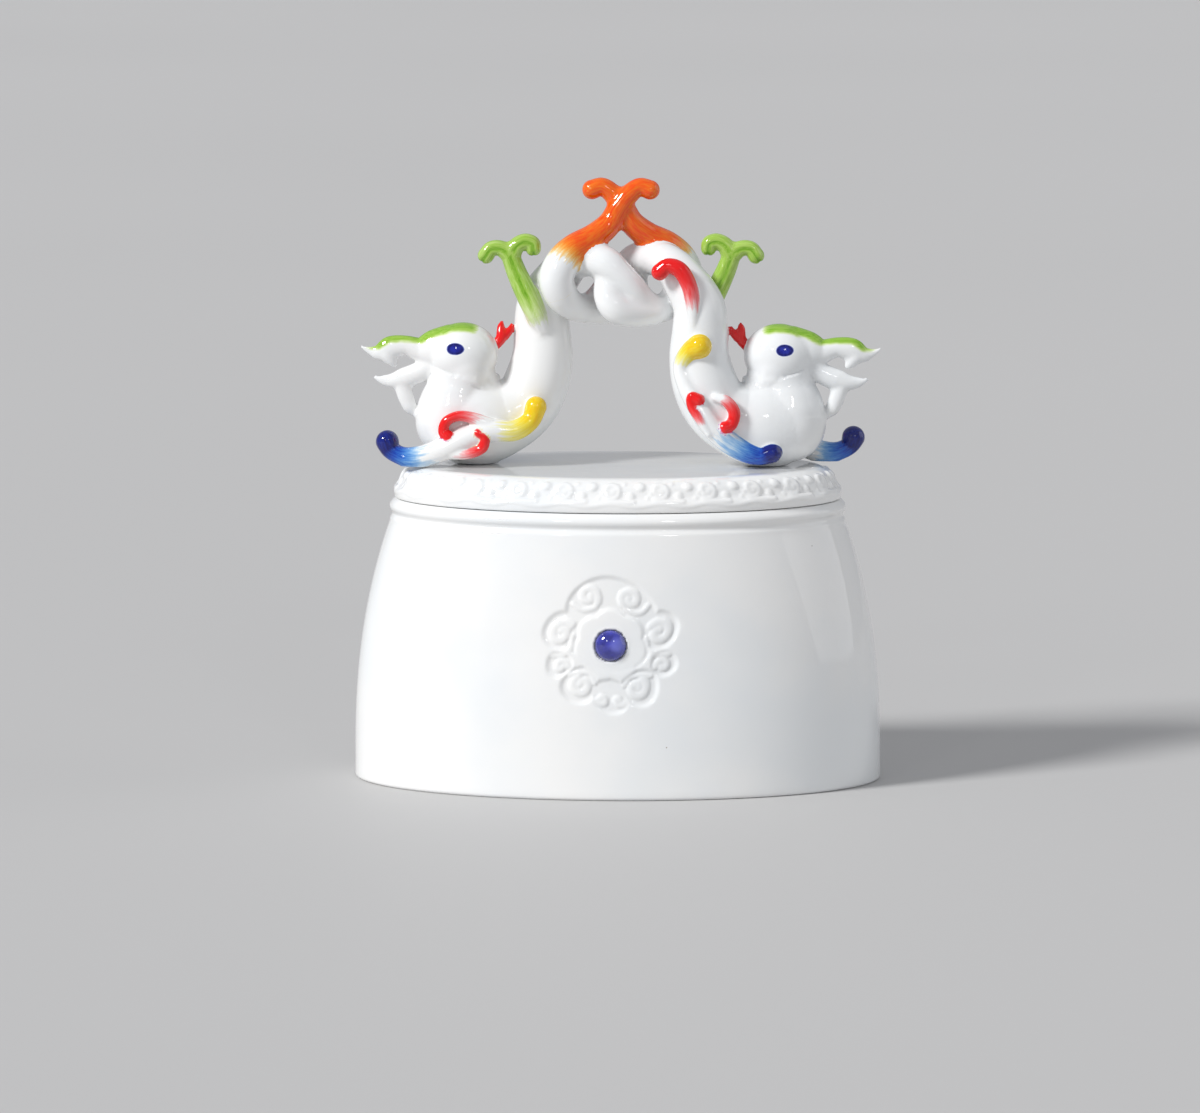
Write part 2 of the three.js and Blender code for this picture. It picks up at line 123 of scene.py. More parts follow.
# Medallion
MEDALLION_HEIGHT = 70.2
MEDALLION_RADIUS = 31.3
MEDALLION_RECESS = 1
BOSS_RADIUS = 16.8
BOSS_LOBES = 7
BOSS_LOBE_DEPTH = 1.8
SOCKET_CLEARANCE = 0.35
SOCKET_DEPTH = 2.1
COLLAR_WIDTH = 1.6
# How far outside and inside their lines the sunk ground and the lobed middle change height
GROUND_EDGE = (-0.8, 1.8)
BOSS_EDGE = (-0.9, 1.5)
# Shares of the recess that each form fills
BOSS_RISE = 0.8
COLLAR_RISE = 0.95
CURL_RISE = 0.75
TENDRIL_RISE = 0.8
# Share of its size by which a scroll of the medallion winds in
CURL_WIND = 0.74

# Medallion, left half, from its middle; the right half mirrors it
# Sunk ground: (right, above, radius)
MEDALLION_LOBES = [
    (0, 9.4, 21.8), (-21.6, 6.8, 9), (-23.6, -8.4, 6), (-13.6, -18.4, 8.6), (0, -22.4, 8.4),
]
# Scrolls: (right, above, radius, start in degrees, turns, width)
MEDALLION_SCROLLS = [
    (-9.4, 21.6, 4.4, -30, 1.1, 2), (-22, 5.8, 5.2, 40, 1.15, 2.2), (-22.8, -9.2, 3, 0, 0.9, 1.7),
    (-12.4, -18.4, 4.6, 120, 1.1, 2.1), (-3.8, -24.4, 2.4, 200, 0.8, 1.6),
]
# Tendrils: line, width
MEDALLION_TENDRILS = [
    ([(-5, 20), (-7.4, 16.6), (-13, 15.4), (-17, 18.4)], 1.3),
    ([(-16.6, 4), (-17.6, -1.6), (-21, -4.2), (-26, -4.4)], 1.3),
    ([(-18, -13.4), (-14.6, -12.6), (-9, -13.6), (-6.8, -17.4)], 1.2),
]

# Cabochon
GIRDLE = 1.2
GEM_SIDES = 96
GEM_ROWS = 22
GEM_FULLNESS = 0.94

# Grid spacing along the walls, coarse and in relief, and round the lid
COARSE = 2.6
FINE = 0.62
LID_SPACING = 0.78
# Rows of the lid's band, and the one on which places round it are measured
BAND_ROWS = 44
BAND_RING = 20

# Handle: the dragons cross this far right of the lid's middle
HANDLE_SHIFT = 1.5

# Handle mesh
VOXEL = 0.92
SAMPLES_PER_SPAN = 8
TUBE_SIDES = 16
BALL_SIDES = 32
BALL_ROWS = 20
ROUND_END = ((0.94, 0.34), (0.7, 0.71), (0.35, 0.94))
FOOT_SINK = 0.06
LONGEST_STEP = 2
REACH = 9
FAR = 60

# Paints, as linear colours
GREEN = (0.36, 0.6, 0.075)
YELLOW = (0.98, 0.68, 0.012)
ORANGE = (1.0, 0.16, 0.004)
RED = (0.92, 0.007, 0.008)
BLUE = (0.011, 0.095, 0.55)
NAVY = (0.002, 0.013, 0.22)
INK = (0.003, 0.005, 0.12)
IRIS = (0.01, 0.02, 0.36)


# Smooth lines


def smooth_line(stations, shares):
    """Points at shares of a smooth line through the stations, timed by the root of each span."""
    stations = np.asarray(stations, float)
    last = len(stations) - 1
    place = np.clip(np.asarray(shares, float) * last, 0, last)
    span = np.minimum(place.astype(int), last - 1)
    t = (place - span)[:, None]
    padded = np.vstack([2 * stations[0] - stations[1], stations, 2 * stations[-1] - stations[-2]])
    p0, p1, p2, p3 = (padded[span + i] for i in range(4))

    def timing(a, b):
        return np.sqrt(np.linalg.norm(b - a, axis=1))[:, None]

    d1 = timing(p1, p2)
    d1 = np.where(d1 < 1e-4, 1, d1)
    d0, d2 = (np.where(d < 1e-4, d1, d) for d in (timing(p0, p1), timing(p2, p3)))
    m1 = ((p1 - p0) / d0 - (p2 - p0) / (d0 + d1) + (p2 - p1) / d1) * d1
    m2 = ((p2 - p1) / d1 - (p3 - p1) / (d1 + d2) + (p3 - p2) / d2) * d1
    cubic = 2 * p1 - 2 * p2 + m1 + m2
    square = 3 * (p2 - p1) - 2 * m1 - m2
    return p1 + t * (m1 + t * (square + t * cubic))


def smoothstep(low, high, value):
    t = np.clip((value - low) / (high - low), 0, 1)
    return t * t * (3 - 2 * t)


# Meshes


def new_object(name, vertices, faces, smooth=True):
    mesh = bpy.data.meshes.new(name)
    mesh.from_pydata((np.asarray(vertices) * MM).tolist(), [], faces)
    mesh.update()
    mesh.shade_smooth() if smooth else mesh.shade_flat()
    piece = bpy.data.objects.new(name, mesh)
    bpy.context.scene.collection.objects.link(piece)
    return piece


def turned_faces(rows, columns):
    """Faces of a closed turned form: a first point, rows of columns points, and a last point."""
    def at(row, column):
        return 1 + row * columns + column % columns

    last = 1 + rows * columns
    faces = []
    for column in range(columns):
        faces.append((0, at(0, column + 1), at(0, column)))
        faces.append((last, at(rows - 1, column), at(rows - 1, column + 1)))
    for row in range(rows - 1):
        for column in range(columns):
            faces.append(
                (at(row, column), at(row, column + 1), at(row + 1, column + 1), at(row + 1, column))
            )
    return faces


def grid_normals(grid):
    """Outward normals of a grid of rows by columns that closes round its columns."""
    across = np.roll(grid, -1, axis=1) - np.roll(grid, 1, axis=1)
    along = np.gradient(grid, axis=0)
    normal = np.cross(across, along)
    return normal / np.maximum(np.linalg.norm(normal, axis=2, keepdims=True), 1e-9)


def even_angles(half_length, half_depth, spacing_at):
    """Angles round an oval whose spacing along it follows spacing_at(x, y), from the front and round."""
    fine = np.linspace(0, 2 * np.pi, 20001)
    x, y = half_length * np.sin(fine), -half_depth * np.cos(fine)
    length = np.hypot(np.diff(x), np.diff(y))
    count = np.concatenate([[0], np.cumsum(length / spacing_at(x[1:], y[1:]))])
    total = int(round(count[-1] / 4)) * 4
    return np.interp(np.arange(total) * count[-1] / total, count, fine)


def oval_grid(rows, angles):
    """Points of ovals given as (half length, half depth, height) rows."""
    rows = np.asarray(rows, float)
    return np.stack(
        [
            rows[:, :1] * np.sin(angles),
            -rows[:, 1:2] * np.cos(angles),
            np.repeat(rows[:, 2:], len(angles), axis=1),
        ],
        axis=2,
    )


def turned_object(name, grid):
    """An object from a grid whose first and last rows are closed with a point in their middle."""
    rows, columns, _ = grid.shape
    vertices = np.vstack([grid[0].mean(axis=0), grid.reshape(-1, 3), grid[-1].mean(axis=0)])
    return new_object(name, vertices, turned_faces(rows, columns))


def wall_at(height, inset=0):
    """The outer wall's oval at a height, moved inwards by inset."""
    rise = np.clip((height - LEAN_START) / (NECK_HEIGHT - LEAN_START), 0, 1)
    lean = rise**LEAN_POWER
    return (
        BASE_HALF_LENGTH - LEAN_LENGTH * lean - inset,
        BASE_HALF_DEPTH - LEAN_DEPTH * lean - inset,
        height,
    )


def oval_row(height, inset, at_height=None):
    """The wall's oval of one height, used at another."""
    half_length, half_depth, _ = wall_at(height, inset)
    return (half_length, half_depth, height if at_height is None else at_height)


def quarter_turn(steps):
    """Sines and cosines of a quarter circle, ends included."""
    angles = np.linspace(0, np.pi / 2, steps + 1)
    return list(zip(np.sin(angles), np.cos(angles)))


# Relief


def bump(distance, width):
    """A round ridge, 1 at its middle and 0 at width away."""
    return np.sqrt(np.clip(1 - (distance / width) ** 2, 0, 1))


def ridge(u, v, line, width):
    """A ridge along a line of points, 1 on it and 0 at width from it."""
    nearest = np.full(u.shape, np.inf)
    for (u0, v0), (u1, v1) in zip(line[:-1], line[1:]):
        du, dv = u1 - u0, v1 - v0
        t = np.clip(((u - u0) * du + (v - v0) * dv) / (du * du + dv * dv + 1e-9), 0, 1)
        nearest = np.minimum(nearest, np.hypot(u - u0 - t * du, v - v0 - t * dv))
    return bump(nearest, width)


def spiral(right, above, size, start, sweep, wind, steps):
    """A spiral round a point. It starts at its outside and winds in; its angles are in radians."""
    share = np.linspace(0, 1, steps)
    turn = start + sweep * share
    reach = size * (1 - wind * share)
    return list(zip(right + reach * np.cos(turn), above + reach * np.sin(turn)))


def medallion_inset(u, v):
    """How far the front surface stands back at u right of and v above the medallion's middle."""
    reach = np.hypot(u, v)
    side = -np.abs(u + 0.6 * np.sin(0.3 * v + 1))
    up = v + 0.7 * np.sin(0.16 * u)
    field = np.full(u.shape, -float(FAR))
    for right, above, radius in MEDALLION_LOBES:
        field = np.maximum(field, radius - np.hypot(side - right, up - above))
    sunk = smoothstep(*GROUND_EDGE, field)

    height = np.zeros(u.shape)
    for right, above, size, start, turns, width in MEDALLION_SCROLLS:
        line = spiral(right, above, size, math.radians(start), 2 * np.pi * turns, CURL_WIND, 26)
        height = np.maximum(height, ridge(side, up, line, width))
    for line, width in MEDALLION_TENDRILS:
        line = smooth_line(line, np.linspace(0, 1, 16))
        height = np.maximum(height, TENDRIL_RISE * ridge(side, up, line, width))

    around = np.arctan2(v, u) - math.pi / 2
    lobes = BOSS_RADIUS - BOSS_LOBE_DEPTH * (1 - np.abs(np.cos(BOSS_LOBES * around / 2)))
    boss = BOSS_RISE * smoothstep(*BOSS_EDGE, lobes - reach)
    boss = np.maximum(boss, COLLAR_RISE * bump(reach - (gem_high[0] + 1), COLLAR_WIDTH))
    relief = np.maximum(CURL_RISE * height, boss)
    return MEDALLION_RECESS * sunk * (1 - 0.97 * relief)


# Box body


def body_rows():
    """Rows from the middle of the underside, out and up the wall, over the rim and down inside."""
    foot_inner = BASE_ROUNDING + FOOT_WIDTH
    rows = [oval_row(0, foot_inner + FOOT_RECESS + 60 * share, FOOT_RECESS) for share in (1, 0.5, 0.1, 0)]
    for sine, cosine in quarter_turn(4):
        rows.append(oval_row(0, foot_inner + FOOT_RECESS * cosine, FOOT_RECESS * (1 - sine)))
    for sine, cosine in quarter_turn(5):
        rows.append(oval_row(0, BASE_ROUNDING * (1 - sine), BASE_ROUNDING * (1 - cosine)))

    relief_low = MEDALLION_HEIGHT - MEDALLION_RADIUS - 1.5
    relief_high = MEDALLION_HEIGHT + MEDALLION_RADIUS + 1.5
    below = np.arange(BASE_ROUNDING + COARSE, relief_low, COARSE)
    within = np.arange(relief_low, relief_high, FINE)
    above = np.arange(relief_high, NECK_HEIGHT - COARSE / 2, COARSE)
    rows += [wall_at(height) for height in np.concatenate([below, within, above])]

    for share, inset in smooth_line(NECK_PROFILE, np.linspace(0, 1, 31)):
        rows.append(oval_row(NECK_HEIGHT, inset, NECK_HEIGHT + share * RIM_HEIGHT))
    rim_inner = NECK_PROFILE[-1][1] + RIM_WIDTH
    for sine, cosine in quarter_turn(4):
        inset = rim_inner - RIM_ROUNDING * (1 - sine)
        rows.append(oval_row(NECK_HEIGHT, inset, RIM_TOP - RIM_ROUNDING * (1 - cosine)))
    for height in np.linspace(NECK_HEIGHT, FLOOR_TOP + FLOOR_CORNER, 24):
        rows.append(wall_at(height, BODY_WALL))
    for sine, cosine in quarter_turn(6)[1:]:
        inset = BODY_WALL + FLOOR_CORNER * (1 - cosine)
        rows.append(oval_row(0, inset, FLOOR_TOP + FLOOR_CORNER * (1 - sine)))
    rows += [oval_row(0, BODY_WALL + FLOOR_CORNER + reach, FLOOR_TOP) for reach in (2, 20, 45)]
    return np.array(rows)


def make_body():
    def spacing(x, y):
        in_relief = (np.abs(x) < MEDALLION_RADIUS + 2) & (y < 0)
        return np.where(in_relief, FINE, COARSE)

    rows = body_rows()
    angles = even_angles(BASE_HALF_LENGTH, BASE_HALF_DEPTH, spacing)
    grid = oval_grid(rows, angles)
    wall = slice(np.argmax(rows[:, 0]), np.argmax(rows[:, 2] >= NECK_HEIGHT))
    face = grid[wall]
    front = face[..., 1] < 0
    inset = medallion_inset(face[..., 0], face[..., 2] - MEDALLION_HEIGHT)
    reach = np.hypot(face[..., 0], face[..., 2] - MEDALLION_HEIGHT)
    socket = reach < gem_high[0] + SOCKET_CLEARANCE
    inset = np.where(socket, SOCKET_DEPTH, inset) * front
    grid[wall] = face - grid_normals(face) * inset[..., None]
    return turned_object("box_vessel", grid)


# Cabochon


def make_cabochon():
    """A glossy dome that faces the front, with a rounded girdle that sits in its socket."""
    radius = gem_high[0]
    back, front = gem_high[1], gem_low[1]
    dome = back - front - GIRDLE
    angles = np.linspace(0, 2 * np.pi, GEM_SIDES, endpoint=False)
    profile = [(0.5 * radius, 0), (radius - 0.3, 0), (radius - 0.08, 0.12), (radius, 0.4), (radius, GIRDLE)]
    for sine, cosine in quarter_turn(GEM_ROWS)[1:-1]:
        profile.append((radius * cosine**GEM_FULLNESS, GIRDLE + dome * sine))
    rings = []
    for ring_radius, rise in profile:
        x, z = ring_radius * np.cos(angles), MEDALLION_HEIGHT + ring_radius * np.sin(angles)
        rings.append(np.stack([x, np.full(GEM_SIDES, back - rise), z], axis=1))
    return turned_object("cabochon_glaze", np.array(rings)[:, ::-1])


# Lid plate


def band_relief(place, slope_place, wavelength):
    """Height of the band's relief at a place along it and a place up its slope."""
    u = (place + wavelength / 2) % wavelength - wavelength / 2
    v = slope_place - SCROLL_SLOPE_PLACE

    scroll = spiral(0, 0, SCROLL_RADIUS, SCROLL_START, SCROLL_SWEEP, SCROLL_WIND, 30)
    height = SCROLL_RISE * ridge(u, v, scroll, SCROLL_WIDTH)
    height = np.maximum(height, SCROLL_EYE_RISE * bump(np.hypot(u, v), SCROLL_WIDTH))

    for repeat_share, right, above, radius in BEADS:
        bead_u = repeat_share * wavelength + right
        rise = BEAD_RISE * radius / FULL_BEAD_RADIUS
        for shift in (-wavelength, 0, wavelength):
            distance = np.hypot(u - bead_u - shift, v - above)
            height = np.maximum(height, rise * bump(distance, radius))

    tail = smooth_line(SCROLL_TAIL, np.linspace(0, 1, 16))
    height = np.maximum(height, TAIL_RISE * ridge(u, v, tail, THIN_LINE_WIDTH))
    wave = WAVE_PLACE + WAVE_REACH * np.cos(2 * np.pi * u / wavelength)
    return np.maximum(height, WAVE_RISE * bump(v - wave, THIN_LINE_WIDTH))


def lid_oval(inset, height):
    half_length, half_depth, _ = wall_at(NECK_HEIGHT, LID_SET_BACK + inset)
    return (half_length, half_depth, height)


def make_lid():
    """The lid's plate: flat top, relief band, seat, flange and hollow underside."""
    top_edge = LID_PROFILE[-1][1]
    rows = [lid_oval(top_edge + reach, LID_TOP) for reach in (54, 44, 33, 22, 12, 5, 1.5, 0.4)]
    band = smooth_line(LID_PROFILE, np.linspace(1, 0, BAND_ROWS))
    first = len(rows)
    rows += [lid_oval(inset, LID_BOTTOM + share * LID_HEIGHT) for share, inset in band]
    last = len(rows)
    fillet = 0.5
    rows += [lid_oval(inset, LID_BOTTOM) for inset in (1.6, 3, FLANGE_OUTER - fillet)]
    for sine, cosine in quarter_turn(3):
        rows.append(lid_oval(FLANGE_OUTER - fillet * (1 - sine), LID_BOTTOM - fillet * (1 - cosine)))
    edge = 0.8
    for sine, cosine in quarter_turn(4):
        rows.append(lid_oval(FLANGE_OUTER + edge * (1 - cosine), FLANGE_BOTTOM + edge * (1 - sine)))
    for sine, cosine in quarter_turn(4):
        rows.append(lid_oval(FLANGE_INNER - edge * (1 - sine), FLANGE_BOTTOM + edge * (1 - cosine)))
    corner = 3.5
    for sine, cosine in quarter_turn(6):
        rows.append(lid_oval(FLANGE_INNER + corner * (1 - cosine), LID_CEILING - corner * (1 - sine)))
    rows += [lid_oval(FLANGE_INNER + reach, LID_CEILING) for reach in (5, 15, 30, 48)]

    half_length, half_depth, _ = lid_oval(4, 0)
    angles = even_angles(half_length, half_depth, lambda x, y: np.full(x.shape, LID_SPACING))
    grid = oval_grid(rows[::-1], angles)
    band_rows = slice(len(rows) - last, len(rows) - first)
    face = grid[band_rows]

    ring = face[BAND_RING]
    around = np.hypot(*np.diff(np.vstack([ring, ring[:1]])[:, :2], axis=0).T)
    perimeter = around.sum()
    place = np.concatenate([[0], np.cumsum(around)[:-1]])[None, :]
    climb = np.linalg.norm(np.diff(face[:, 0], axis=0), axis=1)
    slope_place = np.concatenate([[0], np.cumsum(climb)])[:, None]
    place, slope_place = np.broadcast_arrays(place, slope_place)
    height = band_relief(place, slope_place, perimeter / SCROLL_COUNT)
    edges = smoothstep(BAND_MARGIN, BAND_MARGIN + BAND_FADE, slope_place)
    edges = edges * smoothstep(0, BAND_FADE, slope_place[-1, 0] - BAND_MARGIN - slope_place)
    grid[band_rows] = face + grid_normals(face) * (height * edges)[..., None]
    return turned_object("lid_plate", grid)


# Dragons
# Each table gives the left dragon as (right of the crossing, back, above the lid, radius, flatness)

SPINE = [
    (-75.5, 0, 19.8, 18.4, 0.85), (-66, 1.5, 19, 19.8, 0.88), (-56, 3.5, 20.2, 17.4, 0.94),
    (-44.2, 6, 27, 15.3, 0.98), (-38.4, 7, 38.2, 14.8), (-36, 7, 50.2, 13.7), (-36.4, 7.5, 62.2, 12.8),
    (-35.8, 8, 73, 11.8), (-30.5, 7, 83, 10.4), (-22.5, 3, 91.8, 8.6), (-14, -4.5, 94.3, 8),
    (-6.5, -8.6, 92.8, 7.6), (-0.8, -10.2, 88.6, 6.4), (5.6, -9.8, 82.7, 5.7), (10.4, -7.4, 77, 5.3),
    (14.8, -3.2, 72, 6.6), (21, 3.5, 72.6, 6.6), (26.8, 9.5, 78.5, 7.7), (28.8, 11.5, 86, 8.1),
    (26.3, 10.8, 92.8, 7.9), (21, 8.2, 99, 7), (12, 4.5, 104.4, 6.2), (4.8, 1.8, 110.6, 5.6),
    (0.6, 1.2, 118, 5.2), (-3.8, 0.8, 123.6, 4.6), (-8.6, 0.3, 126.9, 4.2), (-13.2, 0.3, 125.6, 4.5),
]
TWIST_FOLD = [
    (-6.2, -7.6, 87, 4.8), (-6.4, -9.6, 82.4, 5.5), (-5, -10.8, 77.4, 6.7), (-1.2, -10.6, 72.8, 7.5),
    (6.4, -7.6, 70.9, 7.3), (14.5, -3.5, 71, 7),
]
NECK = [
    (-75.5, 0, 23, 18, 0.85), (-75.4, 0, 28.6, 15.6, 0.9), (-73, 0, 34, 12.4, 1.05),
    (-69.6, 0, 39.5, 10.4, 1.2), (-70.2, 0, 46, 12, 1.05),
]
CRANIUM_CENTRE = np.array([-72, 0, 50.4])
CRANIUM_HALF = np.array([16, 13, 14.4])
BEAK = [
    (-76, 0, 52, 12.2, 0.75), (-84, 0, 52.6, 9.1, 0.75), (-91, 0, 52.1, 5.6, 0.8), (-98, 0, 54, 4.6, 0.85),
    (-105, 0, 53.2, 5.2, 0.7), (-110, 0, 50.9, 3.7, 0.65), (-114.5, 0, 51.6, 1.8, 0.6),
    (-118, 0, 53.3, 0.8, 0.6),
]
FANG = [(-106.6, 0, 50, 4, 0.8), (-105, 0, 47.6, 2.8, 0.9), (-103.6, 0, 45.7, 1.6)]
JAW = [
    (-84, 0, 46.6, 5.2, 0.9), (-91, 0, 42.4, 4.8, 0.9), (-98, 0, 39.4, 4.9, 0.8), (-103.5, 0, 38, 3.6, 0.8),
    (-108.5, 0, 38.2, 2.2, 0.7), (-112, 0, 39.4, 0.9, 0.7),
]
BEARD = [
    (-100, 0, 36, 3.8, 0.8), (-98.4, 0, 31, 3.7, 0.8), (-96.6, 0, 26.4, 3.2, 0.8),
    (-94.8, 0, 23.4, 1.6, 0.8),
]
HORN = [(-56.8, 0, 54.4, 2), (-54.6, 0.5, 58, 2.5), (-54.8, 1.5, 62.4, 1.8), (-54.4, 2, 65.2, 0.6)]
HORN_SPUR = [(-53.2, 1, 58.5, 2.2), (-50.6, 2, 61.4, 1.6), (-49.8, 2.5, 63.9, 0.6)]
FRONT_BAND = [
    (-38.2, -11.5, 27.4, 4.9), (-40.5, -12.8, 21.5, 4.4), (-47.5, -15.2, 17, 4.7), (-58, -16.6, 17, 5.1),
    (-68.5, -17, 14, 5.3), (-79.5, -17, 8.6, 5.4), (-90, -16, 5.1, 4.9), (-98.5, -15, 4.9, 4.3),
    (-104.2, -14.5, 7.8, 4.3), (-105.8, -14, 11.4, 5.3),
]
FRONT_UPPER_CURL = [
    (-59, -17, 19.5, 3.4), (-66, -18, 22.6, 2.8), (-73, -18.4, 23.8, 2.4), (-78.6, -18.4, 21.2, 2.4),
    (-79.9, -18.4, 16.6, 2.5), (-77.8, -19, 14.4, 2.9),
]
FRONT_LOWER_CURL = [
    (-77, -19, 6.4, 2.4), (-68, -20, 6.8, 2.4), (-61.8, -20.4, 9.8, 2.4), (-61.4, -20, 14.4, 2.6),
    (-64, -19.8, 16, 3),
]
FORK_STEM = [
    (-35.5, -4.5, 62, 3), (-38.6, -5.2, 69, 4.6), (-43.2, -4.2, 79, 5), (-47.6, -3, 88.5, 4.6),
    (-50.4, -2.5, 96, 4.2),
]
FORK_LEFT_CURL = [
    (-50.2, -2.5, 95.5, 4.2), (-54.6, -2.5, 98.8, 3.7), (-59, -2.5, 98.6, 3.6), (-61.4, -2.5, 95.6, 3.8),
]
FORK_RIGHT_CURL = [
    (-49.8, -2.5, 95.5, 4.2), (-47.4, -2.5, 100, 3.9), (-43.4, -2.5, 102, 3.7),
    (-40.2, -2.5, 101, 3.6), (-39.8, -2.5, 98.8, 3.5),
]
BACK_CURL = [
    (-34, 17.5, 63.5, 2.4), (-33.4, 19, 75, 3.2), (-31.4, 19.5, 84.5, 3.7), (-27.2, 19.5, 91, 3.8),
    (-22, 19, 92.6, 3.5), (-18.4, 18.4, 89.8, 3.9),
]
BACK_BAND = [
    (-36.4, 19.8, 56.2, 5.4), (-31.9, 19, 53.4, 4.2), (-28.4, 16.6, 46.6, 4), (-30.4, 17.6, 38.8, 4.3),
    (-35.4, 19.8, 29.5, 4.9), (-41.4, 20.6, 20.6, 5.1), (-49.6, 19, 12.6, 5.1), (-58.5, 16.6, 7.4, 4.8),
    (-64, 15.6, 6, 4.2), (-68.9, 15, 7.4, 4.9),
]
BACK_INNER_CURL = [
    (-41, 24.2, 17, 1.8), (-36.8, 24.4, 23.6, 2.3), (-33.2, 23, 29.6, 2.4), (-33.2, 22.6, 33.4, 2.4),
    (-36.2, 23.2, 32, 2.8),
]
BACK_OUTER_CURL = [
    (-44, 21.6, 33.2, 2), (-48.6, 22, 31.6, 2.6), (-52.3, 21.8, 26.6, 2.8), (-51.2, 22.2, 21, 2.7),
    (-48, 23, 19.4, 2.9),
]

# Paint along a limb: (share along it, colour, cover)
ALL_GREEN = [(0, GREEN, 0.78), (1, GREEN, 0.78)]
ALL_RED = [(0, RED, 1), (1, RED, 1)]
STEM_GREEN = [(0, GREEN, 0), (0.12, GREEN, 0.1), (0.5, GREEN, 0.78), (1, GREEN, 0.78)]
TAIL_ORANGE = [(0, ORANGE, 0), (0.725, ORANGE, 0), (0.775, ORANGE, 1), (1, ORANGE, 1)]
FRONT_BAND_PAINT = [
    (0, YELLOW, 1), (0.1, YELLOW, 1), (0.2, YELLOW, 0.5), (0.32, YELLOW, 0.06), (0.38, YELLOW, 0),
    (0.56, BLUE, 0), (0.66, BLUE, 0.15), (0.75, BLUE, 0.55), (0.84, BLUE, 0.95), (0.92, NAVY, 1),
    (1, NAVY, 1),
]
BACK_BAND_PAINT = [
    (0, YELLOW, 1), (0.06, YELLOW, 1), (0.13, YELLOW, 0.5), (0.22, YELLOW, 0), (0.54, BLUE, 0),
    (0.68, BLUE, 0.25), (0.79, BLUE, 0.75), (0.89, BLUE, 1), (0.96, NAVY, 1), (1, NAVY, 1),
]
CURL_PAINT = [(0, RED, 0), (0.12, RED, 0.1), (0.4, RED, 0.6), (0.62, RED, 1), (1, RED, 1)]
LONG_CURL_PAINT = [(0, RED, 0), (0.12, RED, 0.06), (0.36, RED, 0.5), (0.55, RED, 1), (1, RED, 1)]

# Each limb: table, fillet where it meets the others, paint group, paint, and depth of the groove along it
LIMBS = [
    (SPINE, 6, "tails", TAIL_ORANGE),
    (TWIST_FOLD, 3.6, None, None),
    (NECK, 7, None, None),
    (BEAK, 4, None, None),
    (JAW, 2.8, None, None),
    (FANG, 3, None, None),
    (BEARD, 2.5, None, None),
    (FORK_STEM, 3.5, "fork", STEM_GREEN, 0.5),
    (FORK_LEFT_CURL, 2.5, "fork", ALL_GREEN, 0.5),
    (FORK_RIGHT_CURL, 2.5, "fork", ALL_GREEN, 0.5),
    (HORN, 1.5, "horn", ALL_RED),
    (HORN_SPUR, 1.5, "horn", ALL_RED),
    (FRONT_BAND, 2.2, "front band", FRONT_BAND_PAINT),
    (FRONT_UPPER_CURL, 1.1, "front upper curl", CURL_PAINT),
    (FRONT_LOWER_CURL, 1.1, "front lower curl", CURL_PAINT),
    (BACK_BAND, 2.2, "back band", BACK_BAND_PAINT),
    (BACK_CURL, 1.3, "back curl", LONG_CURL_PAINT),
    (BACK_INNER_CURL, 1.1, "back inner curl", CURL_PAINT),
    (BACK_OUTER_CURL, 1.1, "back outer curl", CURL_PAINT),
]
DRAGON_FILLET = 3
FOOT_FILLET = 6.5
TAIL_PAINT_START = 0.66
GROOVE_WIDTH = 0.8
GROOVE_PAINT = 0.8

# Paint on the left head, from the crossing: the eye, and the stripe that follows its top
EYE_PLACE = (-74.9, 53.7)
EYE_HALF = (4.4, 2.9)
IRIS_EDGE = (0.5, 1.7)
STRIPE_ENDS = (-118, -63.5)
STRIPE_FADES = (9, 5)
STRIPE_DEPTHS = [(-118, 2.6), (-105, 4), (-92, 3.8), (-78, 4.6), (-68, 5)]
# The head lies left of the first and above the second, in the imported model's frame
HEAD_RIGHT = -60
HEAD_LOW = LID_TOP + 44
# Paint edge of bare porcelain, and one lower still where a limb lays no paint
BARE = -20.0
ELSEWHERE = -30

HALF_TURN = np.array([-1, -1, 1])
CROSSING = np.array([HANDLE_SHIFT, 0, LID_TOP])


def half_turned(points):
    """Points carried half a turn about the upright axis where the dragons cross."""
    return CROSSING + (points - CROSSING) * HALF_TURN


def groove_shape(upwards):
    return np.exp(-((upwards / GROOVE_WIDTH) ** 2))


